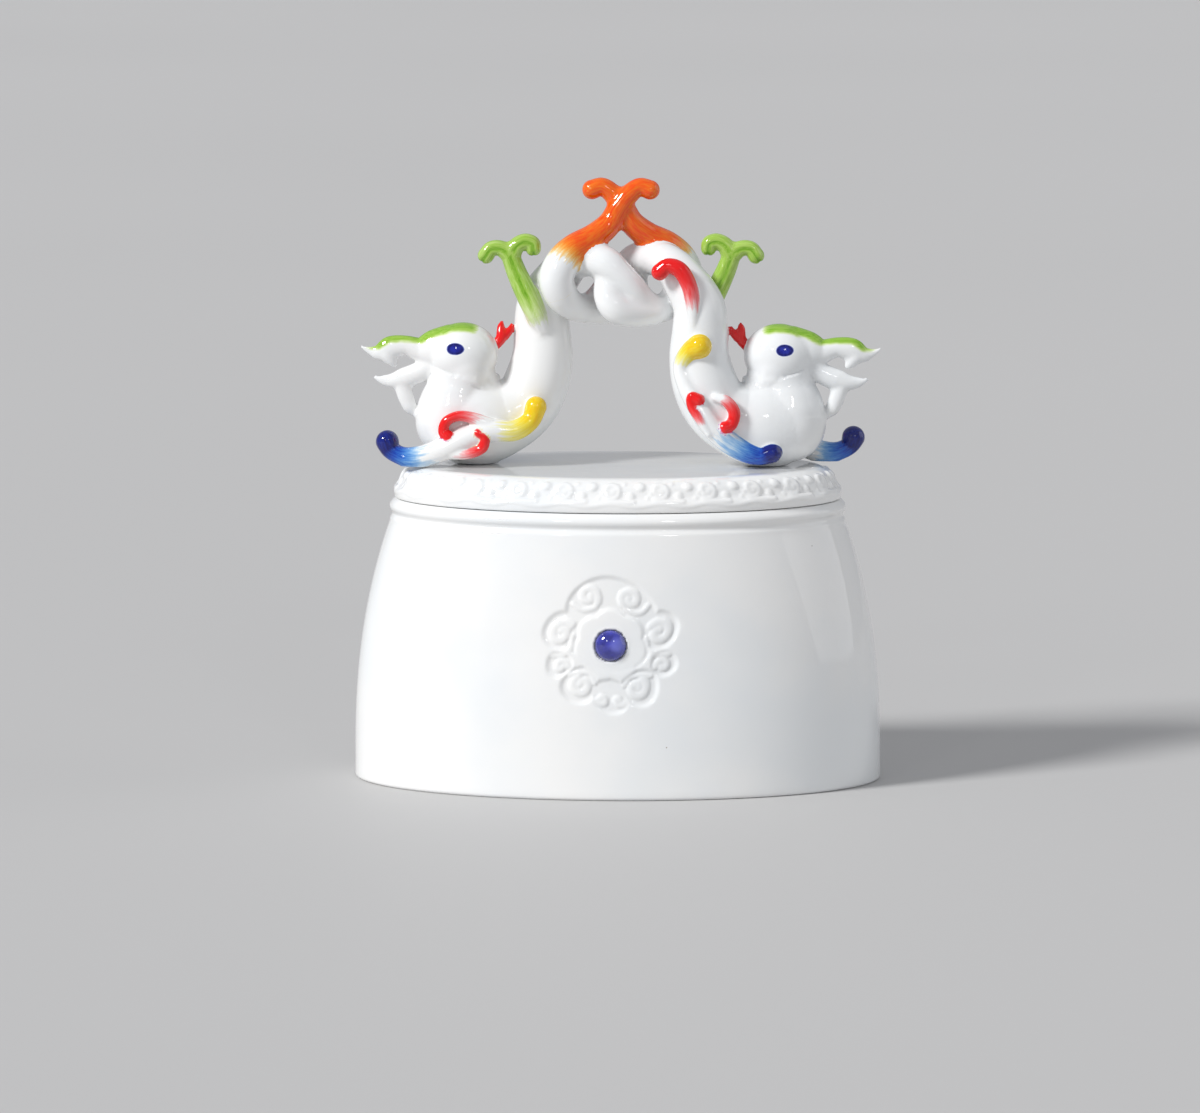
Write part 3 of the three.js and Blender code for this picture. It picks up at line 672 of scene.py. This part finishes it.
class Limb:
    """A limb of round or flattened section along a smooth line."""

    def __init__(self, table, fillet, group, paint, groove=0):
        stations = np.array([(*row, 1)[:5] for row in table], float)
        stations[:, :3] += CROSSING
        shares = np.linspace(0, 1, SAMPLES_PER_SPAN * (len(table) - 1) + 1)
        self.centre = smooth_line(stations[:, :3], shares)
        self.radius, self.flatness = smooth_line(stations[:, 3:], shares).T
        along = np.gradient(self.centre, axis=0)
        along /= np.linalg.norm(along, axis=1, keepdims=True)
        side = np.array([0, 1, 0]) - along * along[:, 1:2]
        self.side = side / np.linalg.norm(side, axis=1, keepdims=True)
        self.along = along
        steps = np.linalg.norm(np.diff(self.centre, axis=0), axis=1)
        self.length = np.concatenate([[0], np.cumsum(steps)])
        self.fillet, self.group, self.paint, self.groove = fillet, group, paint, groove

    def turned(self):
        """The same limb of the right dragon, half a turn about the axis where they cross."""
        other = object.__new__(Limb)
        other.__dict__.update(self.__dict__)
        other.centre = half_turned(self.centre)
        other.side, other.along = self.side * HALF_TURN, self.along * HALF_TURN
        return other

    def near(self, points):
        reach = self.radius.max() + REACH
        low, high = self.centre.min(axis=0) - reach, self.centre.max(axis=0) + reach
        return np.flatnonzero(((points > low) & (points < high)).all(axis=1))

    def measure(self, points):
        """Distance to the limb's surface, its direction, share along and place in the limb's own frame."""
        squared = (points**2).sum(1)[:, None] + (self.centre**2).sum(1) - 2 * points @ self.centre.T
        nearest = (np.sqrt(np.maximum(squared, 0)) - self.radius).argmin(axis=1)
        distance = np.full(len(points), np.inf)
        direction = np.zeros((len(points), 3))
        share = np.zeros(len(points))
        local = np.zeros((len(points), 3))
        for first in (nearest - 1, nearest):
            first = np.clip(first, 0, len(self.centre) - 2)
            start, end = self.centre[first], self.centre[first + 1]
            span = end - start
            t = ((points - start) * span).sum(1) / (span**2).sum(1)
            t = np.clip(t, 0, 1)[:, None]
            offset = points - start - t * span
            side = self.side[first] * (1 - t) + self.side[first + 1] * t
            radius = self.radius[first] * (1 - t[:, 0]) + self.radius[first + 1] * t[:, 0]
            flatness = self.flatness[first] * (1 - t[:, 0]) + self.flatness[first + 1] * t[:, 0]
            sideways = (offset * side).sum(1)
            rest = offset - side * sideways[:, None]
            scaled = side * (sideways / flatness**2)[:, None] + rest
            scaled /= (radius**2)[:, None]
            size = np.maximum(np.linalg.norm(scaled, axis=1), 1e-9)
            ratio = np.sqrt(np.maximum((scaled * offset).sum(1), 1e-12))
            up = np.cross(self.along[first], side)
            upwards = (offset * up).sum(1)
            here = ratio * (ratio - 1) / size + self.groove * groove_shape(upwards)
            closer = here < distance
            distance = np.where(closer, here, distance)
            direction = np.where(closer[:, None], scaled / size[:, None], direction)
            share = np.where(closer, (first + t[:, 0]) / (len(self.centre) - 1), share)
            length = self.length[first] * (1 - t[:, 0]) + self.length[first + 1] * t[:, 0]
            place = np.stack([sideways, upwards, length], axis=1)
            local = np.where(closer[:, None], place, local)
        return distance, direction, share, local


class Ball:
    """A ball with three half axes."""

    fillet, group, paint = 10, None, None

    def __init__(self, middle, half):
        self.middle, self.half = middle, half

    def turned(self):
        return Ball(half_turned(self.middle), self.half)

    def near(self, points):
        reach = self.half + REACH
        return np.flatnonzero((np.abs(points - self.middle) < reach).all(axis=1))

    def measure(self, points):
        offset = points - self.middle
        scaled = offset / self.half**2
        size = np.maximum(np.linalg.norm(scaled, axis=1), 1e-9)
        ratio = np.sqrt(np.maximum((scaled * offset).sum(1), 1e-12))
        return ratio * (ratio - 1) / size, scaled / size[:, None], np.zeros(len(points)), offset


def united(first, second, fillet):
    """The smooth union of two distance fields. Its fillet is widest where they cross squarely, gone where
    they run together, and narrow where they face each other over a gap."""
    (d1, g1), (d2, g2) = first, second
    facing = (g1 * g2).sum(1)
    crossing = np.clip(1 - facing, 0, 1) * np.clip(1.25 + facing, 0.25, 1)
    width = np.maximum(fillet * crossing, 1e-3)
    mix = np.clip(1 - np.abs(d1 - d2) / width, 0, 1)
    weight = np.where(d1 < d2, 1 - mix / 2, mix / 2)[:, None]
    return np.minimum(d1, d2) - mix * mix * width / 4, g1 * weight + g2 * (1 - weight)


def dragon_field(points, limbs):
    total = np.full(len(points), float(FAR)), np.zeros((len(points), 3))
    for limb in limbs:
        index = limb.near(points)
        if len(index):
            distance, direction, _, _ = limb.measure(points[index])
            joined = united((total[0][index], total[1][index]), (distance, direction), limb.fillet)
            total[0][index], total[1][index] = joined
    return total


def handle_field(points, dragons):
    """Distance to both dragons together, flared into the lid's flat top."""
    left, right = (dragon_field(points, limbs) for limbs in dragons)
    both = united(left, right, DRAGON_FILLET)
    up = np.tile([0.0, 0.0, 1.0], (len(points), 1))
    above = points[:, 2] - (LID_TOP - FOOT_SINK)
    low = above > -0.5
    flared = united(both, (above, up), FOOT_FILLET)
    distance = np.where(low, flared[0], both[0])
    direction = np.where(low[:, None], flared[1], both[1])
    return distance, direction


def tube_mesh(limb):
    """A closed tube round a limb, to be fused with the others."""
    angles = np.linspace(0, 2 * np.pi, TUBE_SIDES, endpoint=False)
    up = np.cross(limb.along, limb.side)
    keep = slice(0, None, 2)
    centre, side, up = limb.centre[keep], limb.side[keep], up[keep]
    along, radius, flatness = limb.along[keep], limb.radius[keep], limb.flatness[keep]
    rings = []

    def add(i, shrink, shift):
        middle = centre[i] + along[i] * shift * radius[i]
        ring = middle + radius[i] * shrink * (
            np.outer(np.cos(angles), side[i]) * flatness[i] + np.outer(np.sin(angles), up[i])
        )
        rings.append(ring)

    last = len(centre) - 1
    for sine, cosine in ROUND_END:
        add(0, cosine, -sine)
    for i in range(last + 1):
        add(i, 1, 0)
    for sine, cosine in reversed(ROUND_END):
        add(last, cosine, sine)
    first_tip = centre[0] - along[0] * radius[0]
    last_tip = centre[-1] + along[-1] * radius[-1]
    return np.vstack([first_tip, *rings, last_tip]), turned_faces(len(rings), TUBE_SIDES)


def ball_mesh(ball):
    """A closed mesh of a ball, to be fused with the others."""
    rings = []
    angles = np.linspace(0, 2 * np.pi, BALL_SIDES, endpoint=False)
    for tilt in np.linspace(-np.pi / 2, np.pi / 2, BALL_ROWS)[1:-1]:
        ring = np.stack([np.cos(angles) * np.cos(tilt), np.sin(angles) * np.cos(tilt)], 1)
        rings.append(np.c_[ring, np.full(BALL_SIDES, np.sin(tilt))] * ball.half + ball.middle)
    pole = np.array([0, 0, ball.half[2]])
    vertices = np.vstack([ball.middle - pole, *rings, ball.middle + pole])
    return vertices, turned_faces(len(rings), BALL_SIDES)


def fused_mesh(parts):
    """The parts as one skin of even squares, from Blender's voxel remesher, in millimetres."""
    vertices, faces = [], []
    for part_vertices, part_faces in parts:
        shift = sum(len(v) for v in vertices)
        vertices.append(part_vertices)
        faces += [tuple(i + shift for i in face) for face in part_faces]
    mesh = bpy.data.meshes.new("handle_blank")
    mesh.from_pydata(np.vstack(vertices).tolist(), [], faces)
    blank = bpy.data.objects.new("handle_blank", mesh)
    bpy.context.scene.collection.objects.link(blank)
    remesh = blank.modifiers.new("fuse", "REMESH")
    remesh.mode = "VOXEL"
    remesh.voxel_size = VOXEL
    remesh.adaptivity = 0
    bpy.context.view_layer.update()
    graph = bpy.context.evaluated_depsgraph_get()
    skin = bpy.data.meshes.new_from_object(blank.evaluated_get(graph))
    bpy.data.objects.remove(blank)
    bpy.data.meshes.remove(mesh)
    return skin


def relaxed(points, edges, strength):
    """Each point moved towards the middle of its neighbours."""
    first, second = np.concatenate([edges, edges[:, ::-1]]).T
    count = np.bincount(first, minlength=len(points))
    total = np.stack([np.bincount(first, points[second, i], len(points)) for i in range(3)], axis=1)
    return points + strength * (total / count[:, None] - points)


def project(points, dragons, steps):
    """Points moved step by step onto the surface of the handle's field."""
    for _ in range(steps):
        distance, direction = handle_field(points, dragons)
        size = np.maximum((direction**2).sum(1), 0.3)
        distance = np.clip(distance, -LONGEST_STEP, LONGEST_STEP)
        points = points - direction * (distance / size)[:, None]
    return points


def paint_along(paint, share):
    """Colour and cover of a limb's paint at shares along it."""
    stops = np.array([(at, *colour, cover) for at, colour, cover in paint])
    return np.stack([np.interp(share, stops[:, 0], stops[:, i]) for i in range(1, 5)], axis=1)


def head_paint(points):
    """Edge distances, in millimetres and positive inside, of the eye and of the stripe on the snout."""
    right, _, above = (points - CROSSING).T
    eye = 1 - np.hypot((right - EYE_PLACE[0]) / EYE_HALF[0], (above - EYE_PLACE[1]) / EYE_HALF[1])
    eye *= EYE_HALF[1]

    beak = np.array([(x, z + radius) for x, _, z, radius, _ in BEAK])[::-1]
    beak_top = np.interp(right, beak[:, 0], beak[:, 1])
    crown = np.clip(1 - ((right - CRANIUM_CENTRE[0]) / CRANIUM_HALF[0]) ** 2, 0, 1)
    crown_top = CRANIUM_CENTRE[2] + CRANIUM_HALF[2] * np.sqrt(crown)
    top = np.maximum(beak_top, np.where(crown > 0, crown_top, 0))
    depth = np.interp(right, *np.transpose(STRIPE_DEPTHS))
    return eye, above - (top - depth)


def paint_handle(mesh, points, dragons):
    """Vertex attributes that the handle's material reads: the paint, its edge, its cover and its place."""
    limbs = [limb for limbs in dragons for limb in limbs]
    distances = np.full((len(limbs), len(points)), float(FAR))
    found = []
    for i, limb in enumerate(limbs):
        index = limb.near(points)
        distance, _, share, local = limb.measure(points[index])
        distances[i, index] = distance
        found.append((index, share, local))

    edge = np.full(len(points), BARE)
    values = np.zeros((len(points), 4))
    place = np.zeros((len(points), 3))

    def lay(index, inside, colour_and_cover, where):
        better = inside > edge[index]
        chosen = index[better]
        edge[chosen] = inside[better]
        values[chosen] = colour_and_cover[better]
        place[chosen] = where[better]

    for i, limb in enumerate(limbs):
        if limb.group is None:
            continue
        dragon = i // len(dragons[0])
        whole_tail = limb.group == "tails"
        own = [
            j
            for j, other in enumerate(limbs)
            if other.group == limb.group and (whole_tail or j // len(dragons[0]) == dragon)
        ]
        others = np.delete(distances, own, axis=0).min(axis=0)
        index, share, local = found[i]
        inside = others[index] - distances[i, index]
        nearest_own = distances[i, index] <= distances[own][:, index].min(axis=0) + 1e-6
        inside = np.where(nearest_own, inside, ELSEWHERE)
        if whole_tail:
            inside = np.where(share > TAIL_PAINT_START, inside, ELSEWHERE)
        paint = paint_along(limb.paint, share)
        if limb.groove:
            paint[:, 3] *= 1 + GROOVE_PAINT * groove_shape(local[:, 1])
        lay(index, inside, paint, local)

    for hand in (1, -1):
        own_side = points if hand == 1 else half_turned(points)
        head = np.flatnonzero((own_side[:, 0] < HEAD_RIGHT) & (own_side[:, 2] > HEAD_LOW))
        eye, stripe = head_paint(own_side[head])
        across = own_side[head] * [0.25, 1, 1]
        right = own_side[head, 0] - HANDLE_SHIFT
        right_end = smoothstep(STRIPE_ENDS[1], STRIPE_ENDS[1] - STRIPE_FADES[1], right)
        left_end = smoothstep(STRIPE_ENDS[0], STRIPE_ENDS[0] + STRIPE_FADES[0], right)
        cover = (0.12 + 0.93 * smoothstep(0, 3, stripe)) * right_end * left_end
        lay(head, 0.3 * stripe, np.c_[np.tile(GREEN, (len(head), 1)), cover], across[:, [1, 2, 0]])
        iris = smoothstep(*IRIS_EDGE, eye)[:, None]
        eye_colour = np.array(INK) * (1 - iris) + np.array(IRIS) * iris
        lay(head, eye, np.c_[eye_colour, np.ones(len(head))], across)

    def attribute(name, kind, data, field):
        layer = mesh.attributes.new(name, kind, "POINT")
        layer.data.foreach_set(field, np.asarray(data, np.float32).ravel())

    attribute("paint_edge", "FLOAT", edge, "value")
    attribute("paint_cover", "FLOAT", values[:, 3], "value")
    attribute("paint_colour", "FLOAT_COLOR", np.c_[values[:, :3], np.ones(len(points))], "color")
    attribute("limb_place", "FLOAT_VECTOR", place, "vector")


def make_handle():
    left = [Limb(*row) for row in LIMBS]
    left.insert(3, Ball(CRANIUM_CENTRE + CROSSING, CRANIUM_HALF))
    right = [limb.turned() for limb in left]
    dragons = (left, right)
    parts = [ball_mesh(limb) if isinstance(limb, Ball) else tube_mesh(limb) for limb in left + right]
    mesh = fused_mesh(parts)
    mesh.name = "dragon_handle"

    points = np.empty(3 * len(mesh.vertices), np.float32)
    mesh.vertices.foreach_get("co", points)
    points = points.reshape(-1, 3).astype(float)
    edges = np.empty(2 * len(mesh.edges), np.int32)
    mesh.edges.foreach_get("vertices", edges)
    edges = edges.reshape(-1, 2)
    points = project(points, dragons, 2)
    for _ in range(3):
        points = project(relaxed(points, edges, 0.5), dragons, 1)
    points = project(points, dragons, 2)

    paint_handle(mesh, points, dragons)
    mesh.vertices.foreach_set("co", (points * MM).astype(np.float32).ravel())
    mesh.update()
    mesh.shade_smooth()
    piece = bpy.data.objects.new("dragon_handle", mesh)
    bpy.context.scene.collection.objects.link(piece)
    return piece


# Materials


class Nodes:
    """A short way to write a node tree."""

    def __init__(self, name):
        self.material = bpy.data.materials.new(name)
        self.material.use_nodes = True
        self.tree = self.material.node_tree
        self.shader = self.tree.nodes["Principled BSDF"]
        self.where = self.add("ShaderNodeTexCoord").outputs["Object"]

    def add(self, kind, inputs=None, **settings):
        node = self.tree.nodes.new(kind)
        for name, value in settings.items():
            setattr(node, name, value)
        for name, value in (inputs or {}).items():
            self.set(node.inputs[name], value)
        return node

    def set(self, socket, value):
        if isinstance(value, bpy.types.NodeSocket):
            self.tree.links.new(value, socket)
        else:
            socket.default_value = value

    def math(self, operation, first, second=0.0, third=0.0, clamp=False):
        inputs = {0: first, 1: second, 2: third}
        return self.add("ShaderNodeMath", inputs, operation=operation, use_clamp=clamp).outputs[0]

    def noise(self, scale, detail=2.0, vector=None, roughness=0.5):
        inputs = {"Vector": vector or self.where, "Scale": scale, "Detail": detail, "Roughness": roughness}
        return self.add("ShaderNodeTexNoise", inputs).outputs["Fac"]

    def between(self, value, low, high, smooth=True):
        kind = "SMOOTHSTEP" if smooth else "LINEAR"
        inputs = {"Value": value, "From Min": low, "From Max": high}
        return self.add("ShaderNodeMapRange", inputs, interpolation_type=kind).outputs["Result"]

    def mix(self, share, first, second, blend="MIX"):
        node = self.add("ShaderNodeMix", data_type="RGBA", blend_type=blend)
        self.set(node.inputs["Factor"], share)
        self.set(node.inputs[6], first)
        self.set(node.inputs[7], second)
        return node.outputs[2]

    def attribute(self, name, output):
        return self.add("ShaderNodeAttribute", attribute_name=name).outputs[output]

    def bump(self, height, distance, strength=1.0, normal=None):
        inputs = {"Height": height, "Distance": distance, "Strength": strength}
        if normal is not None:
            inputs["Normal"] = normal
        return self.add("ShaderNodeBump", inputs).outputs["Normal"]


def rgba(colour):
    return (*colour, 1.0)


GLAZE = {
    "IOR": 1.52,
    "Coat Weight": 0.15,
    "Coat Roughness": 0.02,
    "Coat IOR": 1.5,
    "Subsurface Weight": 0.12,
    "Subsurface Radius": (1.0, 0.95, 0.88),
    "Subsurface Scale": 0.003,
}
PORCELAIN_LIGHT = rgba((0.86, 0.86, 0.85))
PORCELAIN_COOL = rgba((0.8, 0.82, 0.83))
SPECK = rgba((0.35, 0.3, 0.25))
GEM_DEEP = rgba((0.018, 0.02, 0.22))
GEM_CLOUD = rgba((0.045, 0.05, 0.42))
# Pale violet-blue of the painted reflection on the cabochon's right
GEM_PAINTED_REFLECTION = rgba((0.17, 0.19, 0.72))
FLOOR_GREY = rgba((0.54, 0.535, 0.53))
FLOOR_PALE = rgba((0.55, 0.545, 0.54))


def glazed(nodes, colour):
    """Clear glaze over a colour: soft waves, a fine peel, and roughness that wanders a little."""
    wave = nodes.noise(38, 2)
    peel = nodes.noise(700, 1)
    normal = nodes.bump(wave, 0.00022, 0.5)
    normal = nodes.bump(peel, 0.00002, 0.5, normal)
    roughness = nodes.between(nodes.noise(22, 4), 0.2, 0.9, False)
    roughness.node.inputs["To Min"].default_value = 0.03
    roughness.node.inputs["To Max"].default_value = 0.09
    values = {**GLAZE, "Base Color": colour, "Roughness": roughness, "Normal": normal}
    for name, value in values.items():
        nodes.set(nodes.shader.inputs[name], value)


def porcelain_colour(nodes):
    """White that drifts between warm and cool, with a few kiln specks."""
    drift = nodes.between(nodes.noise(14, 3), 0.35, 0.7)
    white = nodes.mix(drift, PORCELAIN_LIGHT, PORCELAIN_COOL)
    cells = nodes.add("ShaderNodeTexVoronoi", {"Vector": nodes.where, "Scale": 46.0})
    near = nodes.between(cells.outputs["Distance"], 0.022, 0.014)
    rare = nodes.between(nodes.noise(31, 0), 0.66, 0.68)
    return nodes.mix(nodes.math("MULTIPLY", near, rare), white, SPECK)


def white_porcelain():
    nodes = Nodes("white_porcelain")
    glazed(nodes, porcelain_colour(nodes))
    return nodes.material


def painted_porcelain():
    """Porcelain with brushed, see-through colours that follow the limbs and deepen where they lie thick."""
    nodes = Nodes("painted_porcelain")
    edge = nodes.attribute("paint_edge", "Fac")
    cover = nodes.attribute("paint_cover", "Fac")
    paint = nodes.attribute("paint_colour", "Color")
    place = nodes.attribute("limb_place", "Vector")

    stretched = nodes.add("ShaderNodeMapping", {"Vector": place, "Scale": (1.0, 1.0, 0.14)})
    streak = nodes.noise(0.62, 3, stretched.outputs["Vector"], 0.6)
    fine_streak = nodes.noise(1.5, 2, stretched.outputs["Vector"])

    ragged = nodes.math("MULTIPLY_ADD", nodes.between(streak, 0.3, 0.7), -0.2, 0.1)
    worn = nodes.math("ADD", cover, ragged)
    covered = nodes.math("MULTIPLY_ADD", worn, 1.25, -0.14)
    covered = nodes.math("MAXIMUM", covered, 0.0)
    wobble = nodes.math("MULTIPLY_ADD", nodes.noise(260, 1), 0.5, -0.25)
    inside = nodes.between(nodes.math("ADD", edge, wobble), 0.05, 0.8)
    thickness = nodes.math("MULTIPLY", covered, inside)
    brushed = nodes.math("MULTIPLY_ADD", nodes.between(fine_streak, 0.36, 0.7), 0.34, 0.86)
    thickness = nodes.math("MULTIPLY", thickness, brushed)
    stain = nodes.add("ShaderNodeGamma", {"Color": paint, "Gamma": thickness}).outputs["Color"]
    glazed(nodes, nodes.mix(1.0, porcelain_colour(nodes), stain, "MULTIPLY"))
    return nodes.material


def cabochon_glaze():
    """Deep violet-blue glass glaze, with a pale patch painted on its right as a reflection of a light."""
    nodes = Nodes("cabochon_glaze")
    clouds = nodes.between(nodes.noise(230, 3), 0.3, 0.72)
    cloudy = nodes.mix(clouds, GEM_DEEP, GEM_CLOUD)
    # Painted reflection: the gem's colour pales towards this place on its right, up to three quarters of
    # the way
    painted_reflection_place = Vector((0.0032, (gem_low[1] + 1.4) * MM, (MEDALLION_HEIGHT + 0.6) * MM))
    distance = nodes.add(
        "ShaderNodeVectorMath", {0: nodes.where, 1: painted_reflection_place}, operation="DISTANCE"
    ).outputs["Value"]
    painted_reflection = nodes.math("MULTIPLY", nodes.between(distance, 0.0046, 0.0016), 0.75)
    colour = nodes.mix(painted_reflection, cloudy, GEM_PAINTED_REFLECTION)
    glazed(nodes, colour)
    nodes.shader.inputs["Coat Weight"].default_value = 1.0
    return nodes.material


# Stage: broad lights, as (name, right of the front, height, width, strength)
SUNS = [
    ("key", -54, 36, 14, 2.85),
    ("fill", 95, 18, 50, 0.4),
    ("left_front", -20, 22, 6, 0.09),
    ("right_front", 18, 22, 6, 0.09),
]
FLOOR_RADIUS = 12000
FLOOR_SIDES = 64


def disc(radius, sides):
    angles = np.linspace(0, 2 * np.pi, sides, endpoint=False)
    rim = np.stack([radius * np.cos(angles), radius * np.sin(angles), np.zeros(sides)], axis=1)
    return rim, [tuple(range(sides))]


def sun_light(name, right_of_front, height, width, strength):
    """A broad, even studio light: its direction, how high it stands and how wide it looks, in degrees."""
    lamp = bpy.data.lights.new(name, "SUN")
    lamp.energy = strength
    lamp.angle = math.radians(width)
    lamp_object = bpy.data.objects.new(name, lamp)
    turn, rise = math.radians(right_of_front), math.radians(height)
    place = Vector((math.sin(turn) * math.cos(rise), -math.cos(turn) * math.cos(rise), math.sin(rise)))
    lamp_object.location = place
    lamp_object.rotation_euler = (-place).to_track_quat("-Z", "Y").to_euler()
    bpy.context.scene.collection.objects.link(lamp_object)


def make_stage():
    floor = new_object("floor", *disc(FLOOR_RADIUS, FLOOR_SIDES))
    nodes = Nodes("pale_floor")
    tone = nodes.between(nodes.noise(0.8, 1), 0.2, 0.8)
    colour = nodes.mix(tone, FLOOR_GREY, FLOOR_PALE)
    nodes.set(nodes.shader.inputs["Base Color"], colour)
    nodes.shader.inputs["Roughness"].default_value = 0.65
    floor.data.materials.append(nodes.material)

    world = bpy.data.worlds.new("studio")
    world.use_nodes = True
    world.node_tree.nodes["Background"].inputs["Color"].default_value = (0.93, 0.95, 1, 1)
    world.node_tree.nodes["Background"].inputs["Strength"].default_value = 0.42
    bpy.context.scene.world = world
    bpy.context.scene.view_settings.view_transform = "Standard"

    for sun in SUNS:
        sun_light(*sun)


# Camera: it looks down a little, and from slightly left of the front
IMAGE_WIDTH = 1200
FOCAL_PIXELS = 7921
SENSOR_WIDTH = 36
CAMERA_PITCH = math.radians(7.09)
CAMERA_YAW = math.radians(2.6)
CAMERA_DISTANCE = 3621
AIM_HEIGHT = 101.4
AIM_SHIFT = 8.05


def make_camera():
    right = np.array([math.cos(CAMERA_YAW), math.sin(CAMERA_YAW), 0])
    back = np.array(
        [
            math.sin(CAMERA_YAW) * math.cos(CAMERA_PITCH),
            -math.cos(CAMERA_YAW) * math.cos(CAMERA_PITCH),
            math.sin(CAMERA_PITCH),
        ]
    )
    up = np.cross(back, right)
    aim = np.array([0, 0, AIM_HEIGHT]) - AIM_SHIFT * right
    place = (aim + CAMERA_DISTANCE * back) * MM
    data = bpy.data.cameras.new("camera")
    data.sensor_fit = "HORIZONTAL"
    data.sensor_width = SENSOR_WIDTH
    data.lens = FOCAL_PIXELS / IMAGE_WIDTH * SENSOR_WIDTH
    camera = bpy.data.objects.new("camera", data)
    rotation = Matrix(np.stack([right, up, back], axis=1).tolist()).to_4x4()
    camera.matrix_world = Matrix.Translation(place) @ rotation
    bpy.context.scene.collection.objects.link(camera)
    bpy.context.scene.camera = camera


# The object

body = make_body()
lid = make_lid()
handle = make_handle()
cabochon = make_cabochon()

white = white_porcelain()
for piece, material, slot, node in (
    (body, white, "white_porcelain", "box_body"),
    (lid, white, "painted_porcelain", "lid_with_dragon_handle"),
    (handle, painted_porcelain(), "painted_porcelain", "lid_with_dragon_handle"),
    (cabochon, cabochon_glaze(), "blue_cabochon", "medallion_cabochon"),
):
    piece.data.materials.append(material)
    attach(piece, "root")
    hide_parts(node)

make_stage()
make_camera()
